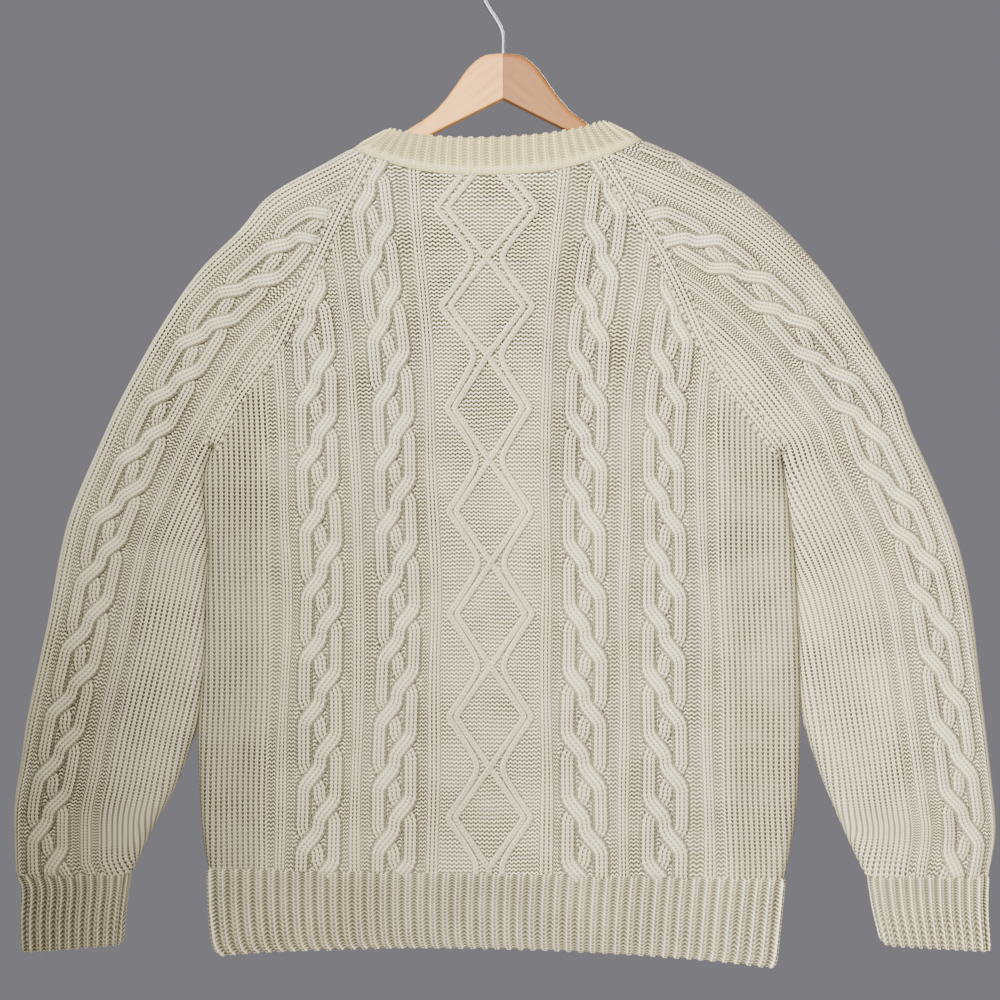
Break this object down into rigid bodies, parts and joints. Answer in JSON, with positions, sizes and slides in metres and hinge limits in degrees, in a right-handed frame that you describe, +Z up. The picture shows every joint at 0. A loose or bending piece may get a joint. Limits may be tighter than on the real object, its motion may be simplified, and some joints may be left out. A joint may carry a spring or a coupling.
{
  "type": "cable knit sweater on a hanger",
  "caption": "Cream aran raglan sweater with cable and diamond panels, ribbed neckband, cuffs and hem, hung flat on a wooden hanger with a wire hook",
  "frame": {"origin": "the inside top of the hanger's hook, where the rail bears", "axes": "+Z up; the sweater's back faces -Y and its front +Y; +X is on the right of someone who looks at the back; y = 0 is the middle plane of the flat sweater and the hanger"},
  "size_m": [0.8849, 0.0268, 0.8976],
  "materials": {
    "cream_knit": "undyed cream wool, worsted spun, knitted at 18 stitches to 10 cm, with a soft matt nap",
    "neckband_knit": "the same wool from a slightly yellower lot, in one by one rib",
    "beech": "light beech with a thin clear satin lacquer",
    "hook_steel": "bright plated steel wire"
  },
  "bodies": {
    "root": {"back_panel": "cream_knit", "front_panel": "cream_knit", "back_hem_rib": "cream_knit", "front_hem_rib": "cream_knit", "sleeve_left": "cream_knit", "sleeve_right": "cream_knit", "cuff_left": "cream_knit", "cuff_right": "cream_knit", "neckband": "neckband_knit", "hanger_arm_left": "beech", "hanger_arm_right": "beech", "hanger_hook": "hook_steel"}
  },
  "joints": []
}
